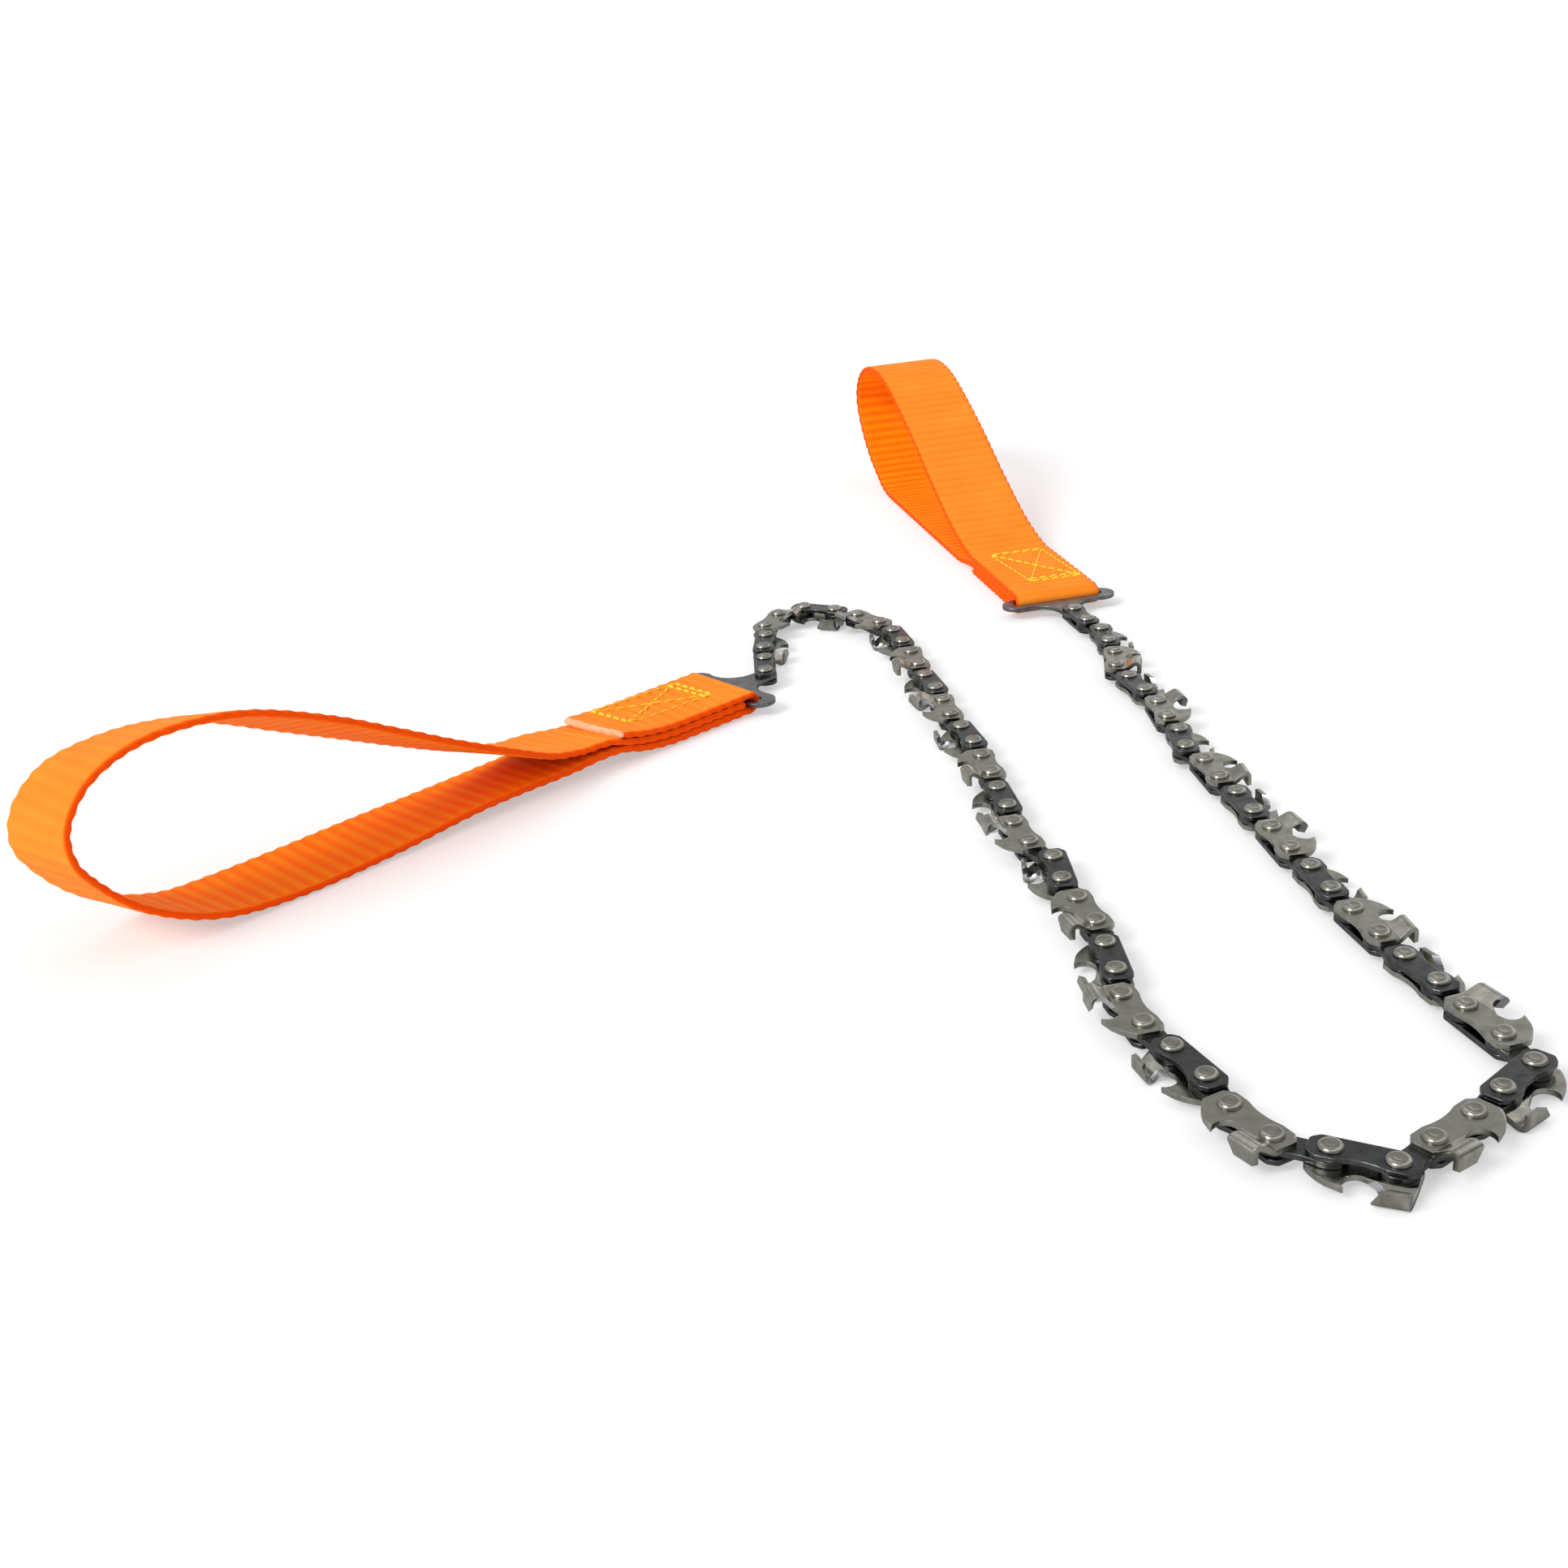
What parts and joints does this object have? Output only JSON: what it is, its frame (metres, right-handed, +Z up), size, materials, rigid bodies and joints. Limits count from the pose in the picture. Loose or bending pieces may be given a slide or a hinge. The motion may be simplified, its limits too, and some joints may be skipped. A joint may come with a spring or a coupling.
{
  "type": "pocket chainsaw",
  "caption": "Hand-pulled saw chain with two-way cutters, T-shaped slotted end plates and two sewn webbing loop handles, laid out in a U.",
  "frame": {"origin": "middle of the laid-out outline, on the surface that the saw lies on", "axes": "+Z up, along the rivets; +Y away from the viewer, from the bottom of the U to the right handle; +X to the right"},
  "size_m": [0.2781, 0.4612, 0.0439],
  "materials": {
    "cutter_steel": "satin warm grey plating, bright where ground",
    "oxide_steel": "dark blue-black oxide, satin",
    "webbing": "woven orange webbing with cross ribs"
  },
  "bodies": {
    "end_plate_right": {"end_plate_right": "oxide_steel"},
    "plain_link_01": {"plain_link_01": "oxide_steel"},
    "centre_link_01": {"centre_link_01": "oxide_steel"},
    "cutter_link_02": {"cutter_link_02": "cutter_steel"},
    "cutter_link_03": {"cutter_link_03": "cutter_steel"},
    "centre_link_03": {"centre_link_03": "oxide_steel"},
    "cutter_link_04": {"cutter_link_04": "cutter_steel"},
    "cutter_link_05": {"cutter_link_05": "cutter_steel"},
    "centre_link_05": {"centre_link_05": "oxide_steel"},
    "cutter_link_06": {"cutter_link_06": "cutter_steel"},
    "centre_link_06": {"centre_link_06": "oxide_steel"},
    "cutter_link_07": {"cutter_link_07": "cutter_steel"},
    "centre_link_07": {"centre_link_07": "oxide_steel"},
    "cutter_link_08": {"cutter_link_08": "cutter_steel"},
    "cutter_link_09": {"cutter_link_09": "cutter_steel"},
    "centre_link_09": {"centre_link_09": "oxide_steel"},
    "cutter_link_10": {"cutter_link_10": "cutter_steel"},
    "cutter_link_11": {"cutter_link_11": "cutter_steel"},
    "centre_link_11": {"centre_link_11": "oxide_steel"},
    "cutter_link_12": {"cutter_link_12": "cutter_steel"},
    "cutter_link_13": {"cutter_link_13": "cutter_steel"},
    "centre_link_13": {"centre_link_13": "oxide_steel"},
    "cutter_link_14": {"cutter_link_14": "cutter_steel"},
    "centre_link_14": {"centre_link_14": "oxide_steel"},
    "cutter_link_15": {"cutter_link_15": "cutter_steel"},
    "centre_link_15": {"centre_link_15": "oxide_steel"},
    "cutter_link_16": {"cutter_link_16": "cutter_steel"},
    "centre_link_16": {"centre_link_16": "oxide_steel"},
    "cutter_link_17": {"cutter_link_17": "cutter_steel"},
    "centre_link_17": {"centre_link_17": "oxide_steel"},
    "cutter_link_18": {"cutter_link_18": "cutter_steel"},
    "cutter_link_19": {"cutter_link_19": "cutter_steel"},
    "centre_link_19": {"centre_link_19": "oxide_steel"},
    "cutter_link_20": {"cutter_link_20": "cutter_steel"},
    "cutter_link_21": {"cutter_link_21": "cutter_steel"},
    "cutter_link_22": {"cutter_link_22": "cutter_steel"},
    "centre_link_22": {"centre_link_22": "oxide_steel"},
    "cutter_link_23": {"cutter_link_23": "cutter_steel"},
    "centre_link_23": {"centre_link_23": "oxide_steel"},
    "cutter_link_24": {"cutter_link_24": "cutter_steel"},
    "cutter_link_25": {"cutter_link_25": "cutter_steel"},
    "cutter_link_26": {"cutter_link_26": "cutter_steel"},
    "cutter_link_27": {"cutter_link_27": "cutter_steel"},
    "cutter_link_28": {"cutter_link_28": "cutter_steel"},
    "centre_link_28": {"centre_link_28": "oxide_steel"},
    "cutter_link_29": {"cutter_link_29": "cutter_steel"},
    "cutter_link_30": {"cutter_link_30": "cutter_steel"},
    "centre_link_30": {"centre_link_30": "oxide_steel"},
    "cutter_link_31": {"cutter_link_31": "cutter_steel"},
    "centre_link_31": {"centre_link_31": "oxide_steel"},
    "cutter_link_32": {"cutter_link_32": "cutter_steel"},
    "centre_link_32": {"centre_link_32": "oxide_steel"},
    "cutter_link_33": {"cutter_link_33": "cutter_steel"},
    "centre_link_33": {"centre_link_33": "oxide_steel"},
    "cutter_link_34": {"cutter_link_34": "cutter_steel"},
    "centre_link_34": {"centre_link_34": "oxide_steel"},
    "plain_link_35": {"plain_link_35": "oxide_steel"},
    "end_plate_left": {"end_plate_left": "oxide_steel"},
    "handle_strap_right": {"handle_strap_right": "webbing"},
    "handle_strap_left": {"handle_strap_left": "webbing"}
  },
  "joints": [
    {"name": "end_plate_right_pivot", "type": "hinge", "parent": "plain_link_01", "child": "end_plate_right", "pos_m": [0.105, 0.037, 0.00308], "axis": [0, 0, 1], "range_deg": [-30, 30]},
    {"name": "pivot_02", "type": "hinge", "parent": "centre_link_01", "child": "plain_link_01", "pos_m": [0.10672, 0.02725, 0.00308], "axis": [0, 0, -1], "range_deg": [-30, 30]},
    {"name": "pivot_03", "type": "hinge", "parent": "cutter_link_02", "child": "centre_link_01", "pos_m": [0.10897, 0.01885, 0.00308], "axis": [0, 0, 1], "range_deg": [-30, 30]},
    {"name": "pivot_05", "type": "hinge", "parent": "cutter_link_03", "child": "cutter_link_02", "pos_m": [0.10897, 0.00025, 0.00308], "axis": [0, 0, -1], "range_deg": [-30, 30]},
    {"name": "pivot_06", "type": "hinge", "parent": "centre_link_03", "child": "cutter_link_03", "pos_m": [0.10725, -0.0095, 0.00308], "axis": [0, 0, 1], "range_deg": [-14, 28]},
    {"name": "pivot_07", "type": "hinge", "parent": "cutter_link_04", "child": "centre_link_03", "pos_m": [0.10876, -0.01807, 0.00308], "axis": [0, 0, -1], "range_deg": [-24, 12]},
    {"name": "pivot_09", "type": "hinge", "parent": "cutter_link_05", "child": "cutter_link_04", "pos_m": [0.11199, -0.03639, 0.00308], "axis": [0, 0, 1], "range_deg": [-30, 18]},
    {"name": "pivot_10", "type": "hinge", "parent": "centre_link_05", "child": "cutter_link_05", "pos_m": [0.11199, -0.04629, 0.00308], "axis": [0, 0, -1], "range_deg": [-16, 30]},
    {"name": "pivot_11", "type": "hinge", "parent": "cutter_link_06", "child": "centre_link_05", "pos_m": [0.11275, -0.05495, 0.00308], "axis": [0, 0, 1], "range_deg": [-30, 14]},
    {"name": "pivot_12", "type": "hinge", "parent": "centre_link_06", "child": "cutter_link_06", "pos_m": [0.11189, -0.06482, 0.00308], "axis": [0, 0, -1], "range_deg": [-14, 14]},
    {"name": "pivot_13", "type": "hinge", "parent": "cutter_link_07", "child": "centre_link_06", "pos_m": [0.11414, -0.07322, 0.00308], "axis": [0, 0, 1], "range_deg": [-30, 12]},
    {"name": "pivot_14", "type": "hinge", "parent": "centre_link_07", "child": "cutter_link_07", "pos_m": [0.115, -0.08308, 0.00308], "axis": [0, 0, -1], "range_deg": [-12, 30]},
    {"name": "pivot_15", "type": "hinge", "parent": "cutter_link_08", "child": "centre_link_07", "pos_m": [0.11651, -0.09165, 0.00308], "axis": [0, 0, 1], "range_deg": [-30, 10]},
    {"name": "pivot_17", "type": "hinge", "parent": "cutter_link_09", "child": "cutter_link_08", "pos_m": [0.11889, -0.11008, 0.00308], "axis": [0, 0, -1], "range_deg": [-8, 30]},
    {"name": "pivot_18", "type": "hinge", "parent": "centre_link_09", "child": "cutter_link_09", "pos_m": [0.11975, -0.11994, 0.00308], "axis": [0, 0, 1], "range_deg": [-30, 8]},
    {"name": "pivot_19", "type": "hinge", "parent": "cutter_link_10", "child": "centre_link_09", "pos_m": [0.12126, -0.12851, 0.00308], "axis": [0, 0, -1], "range_deg": [-8, 30]},
    {"name": "pivot_21", "type": "hinge", "parent": "cutter_link_11", "child": "cutter_link_10", "pos_m": [0.12363, -0.14694, 0.00308], "axis": [0, 0, 1], "range_deg": [-30, 6]},
    {"name": "pivot_22", "type": "hinge", "parent": "centre_link_11", "child": "cutter_link_11", "pos_m": [0.12535, -0.15669, 0.00308], "axis": [0, 0, -1], "range_deg": [-6, 30]},
    {"name": "pivot_23", "type": "hinge", "parent": "cutter_link_12", "child": "centre_link_11", "pos_m": [0.12686, -0.16526, 0.00308], "axis": [0, 0, 1], "range_deg": [-30, 6]},
    {"name": "pivot_25", "type": "hinge", "parent": "cutter_link_13", "child": "cutter_link_12", "pos_m": [0.13094, -0.18339, 0.00308], "axis": [0, 0, -1], "range_deg": [-6, 30]},
    {"name": "pivot_26", "type": "hinge", "parent": "centre_link_13", "child": "cutter_link_13", "pos_m": [0.1335, -0.19295, 0.00308], "axis": [0, 0, 1], "range_deg": [-30, 5]},
    {"name": "pivot_27", "type": "hinge", "parent": "cutter_link_14", "child": "centre_link_13", "pos_m": [0.13501, -0.20152, 0.00308], "axis": [0, 0, -1], "range_deg": [-5, 30]},
    {"name": "pivot_28", "type": "hinge", "parent": "centre_link_14", "child": "cutter_link_14", "pos_m": [0.12743, -0.20788, 0.00308], "axis": [0, 0, 1], "range_deg": [-30, 5]},
    {"name": "pivot_29", "type": "hinge", "parent": "cutter_link_15", "child": "centre_link_14", "pos_m": [0.12076, -0.21348, 0.00308], "axis": [0, 0, -1], "range_deg": [-5, 30]},
    {"name": "pivot_30", "type": "hinge", "parent": "centre_link_15", "child": "cutter_link_15", "pos_m": [0.11265, -0.21915, 0.00308], "axis": [0, 0, 1], "range_deg": [-30, 5]},
    {"name": "pivot_31", "type": "hinge", "parent": "cutter_link_16", "child": "centre_link_15", "pos_m": [0.10552, -0.22414, 0.00308], "axis": [0, 0, -1], "range_deg": [-5, 30]},
    {"name": "pivot_32", "type": "hinge", "parent": "cutter_link_16", "child": "centre_link_16", "pos_m": [0.09695, -0.21919, 0.00308], "axis": [0, 0, 1], "range_deg": [-5, 30]},
    {"name": "pivot_33", "type": "hinge", "parent": "centre_link_16", "child": "cutter_link_17", "pos_m": [0.08942, -0.21484, 0.00308], "axis": [0, 0, -1], "range_deg": [-30, 5]},
    {"name": "pivot_34", "type": "hinge", "parent": "cutter_link_17", "child": "centre_link_17", "pos_m": [0.08523, -0.20587, 0.00308], "axis": [0, 0, 1], "range_deg": [-5, 30]},
    {"name": "pivot_35", "type": "hinge", "parent": "centre_link_17", "child": "cutter_link_18", "pos_m": [0.08372, -0.1973, 0.00308], "axis": [0, 0, -1], "range_deg": [-30, 6]},
    {"name": "pivot_37", "type": "hinge", "parent": "cutter_link_18", "child": "cutter_link_19", "pos_m": [0.07736, -0.17983, 0.00308], "axis": [0, 0, 1], "range_deg": [-6, 30]},
    {"name": "pivot_38", "type": "hinge", "parent": "cutter_link_19", "child": "centre_link_19", "pos_m": [0.07564, -0.17008, 0.00308], "axis": [0, 0, -1], "range_deg": [-30, 6]},
    {"name": "pivot_39", "type": "hinge", "parent": "centre_link_19", "child": "cutter_link_20", "pos_m": [0.0764, -0.16141, 0.00308], "axis": [0, 0, 1], "range_deg": [-8, 30]},
    {"name": "pivot_41", "type": "hinge", "parent": "cutter_link_20", "child": "cutter_link_21", "pos_m": [0.0764, -0.14281, 0.00308], "axis": [0, 0, -1], "range_deg": [-24, 8]},
    {"name": "pivot_43", "type": "hinge", "parent": "cutter_link_21", "child": "cutter_link_22", "pos_m": [0.07317, -0.12449, 0.00308], "axis": [0, 0, 1], "range_deg": [-10, 30]},
    {"name": "pivot_44", "type": "hinge", "parent": "cutter_link_22", "child": "centre_link_22", "pos_m": [0.07317, -0.11459, 0.00308], "axis": [0, 0, -1], "range_deg": [-10, 10]},
    {"name": "pivot_45", "type": "hinge", "parent": "centre_link_22", "child": "cutter_link_23", "pos_m": [0.06949, -0.10671, 0.00308], "axis": [0, 0, 1], "range_deg": [-12, 30]},
    {"name": "pivot_46", "type": "hinge", "parent": "cutter_link_23", "child": "centre_link_23", "pos_m": [0.06777, -0.09696, 0.00308], "axis": [0, 0, -1], "range_deg": [-30, 12]},
    {"name": "pivot_47", "type": "hinge", "parent": "centre_link_23", "child": "cutter_link_24", "pos_m": [0.06777, -0.08826, 0.00308], "axis": [0, 0, 1], "range_deg": [-14, 30]},
    {"name": "pivot_49", "type": "hinge", "parent": "cutter_link_24", "child": "cutter_link_25", "pos_m": [0.06691, -0.06969, 0.00308], "axis": [0, 0, -1], "range_deg": [-30, 16]},
    {"name": "pivot_51", "type": "hinge", "parent": "cutter_link_25", "child": "cutter_link_26", "pos_m": [0.06529, -0.05117, 0.00308], "axis": [0, 0, 1], "range_deg": [-18, 30]},
    {"name": "pivot_53", "type": "hinge", "parent": "cutter_link_26", "child": "cutter_link_27", "pos_m": [0.06206, -0.03285, 0.00308], "axis": [0, 0, -1], "range_deg": [-30, 24]},
    {"name": "pivot_55", "type": "hinge", "parent": "cutter_link_27", "child": "cutter_link_28", "pos_m": [0.06044, -0.01432, 0.00308], "axis": [0, 0, 1], "range_deg": [-30, 30]},
    {"name": "pivot_56", "type": "hinge", "parent": "cutter_link_28", "child": "centre_link_28", "pos_m": [0.05872, -0.00457, 0.00308], "axis": [0, 0, -1], "range_deg": [-30, 30]},
    {"name": "pivot_57", "type": "hinge", "parent": "centre_link_28", "child": "cutter_link_29", "pos_m": [0.05796, 0.0041, 0.00308], "axis": [0, 0, 1], "range_deg": [-30, 30]},
    {"name": "pivot_59", "type": "hinge", "parent": "cutter_link_29", "child": "cutter_link_30", "pos_m": [0.05559, 0.02253, 0.00308], "axis": [0, 0, -1], "range_deg": [-30, 30]},
    {"name": "pivot_60", "type": "hinge", "parent": "cutter_link_30", "child": "centre_link_30", "pos_m": [0.05387, 0.03228, 0.00308], "axis": [0, 0, 1], "range_deg": [-30, 24]},
    {"name": "pivot_61", "type": "hinge", "parent": "centre_link_30", "child": "cutter_link_31", "pos_m": [0.05089, 0.04045, 0.00308], "axis": [0, 0, -1], "range_deg": [-30, 30]},
    {"name": "pivot_62", "type": "hinge", "parent": "cutter_link_31", "child": "centre_link_31", "pos_m": [0.04522, 0.04856, 0.00308], "axis": [0, 0, 1], "range_deg": [-30, 6]},
    {"name": "pivot_63", "type": "hinge", "parent": "centre_link_31", "child": "cutter_link_32", "pos_m": [0.03906, 0.05471, 0.00308], "axis": [0, 0, -1], "range_deg": [-20, 30]},
    {"name": "pivot_64", "type": "hinge", "parent": "cutter_link_32", "child": "centre_link_32", "pos_m": [0.03049, 0.05966, 0.00308], "axis": [0, 0, 1], "range_deg": [-30, 8]},
    {"name": "pivot_65", "type": "hinge", "parent": "centre_link_32", "child": "cutter_link_33", "pos_m": [0.02296, 0.05531, 0.00308], "axis": [0, 0, -1], "range_deg": [-1, 30]},
    {"name": "pivot_66", "type": "hinge", "parent": "cutter_link_33", "child": "centre_link_33", "pos_m": [0.01877, 0.04634, 0.00308], "axis": [0, 0, 1], "range_deg": [-30, 30]},
    {"name": "pivot_67", "type": "hinge", "parent": "centre_link_33", "child": "cutter_link_34", "pos_m": [0.01877, 0.03764, 0.00308], "axis": [0, 0, -1], "range_deg": [-30, 30]},
    {"name": "pivot_68", "type": "hinge", "parent": "cutter_link_34", "child": "centre_link_34", "pos_m": [0.01791, 0.02778, 0.00308], "axis": [0, 0, 1], "range_deg": [-30, 30]},
    {"name": "pivot_69", "type": "hinge", "parent": "centre_link_34", "child": "plain_link_35", "pos_m": [0.01791, 0.01908, 0.00308], "axis": [0, 0, -1], "range_deg": [-30, 30]},
    {"name": "end_plate_left_pivot", "type": "hinge", "parent": "plain_link_35", "child": "end_plate_left", "pos_m": [0.01791, 0.00918, 0.00308], "axis": [0, 0, 1], "range_deg": [-30, 30]},
    {"name": "handle_strap_right_hinge", "type": "hinge", "parent": "end_plate_right", "child": "handle_strap_right", "pos_m": [0.10223, 0.05271, 0.00308], "axis": [0.9848, 0.1736, 0], "range_deg": [-15, 15]},
    {"name": "handle_strap_left_hinge", "type": "hinge", "parent": "end_plate_left", "child": "handle_strap_left", "pos_m": [0.00569, -0.00107, 0.00308], "axis": [-0.6428, 0.766, 0], "range_deg": [-15, 15]}
  ]
}
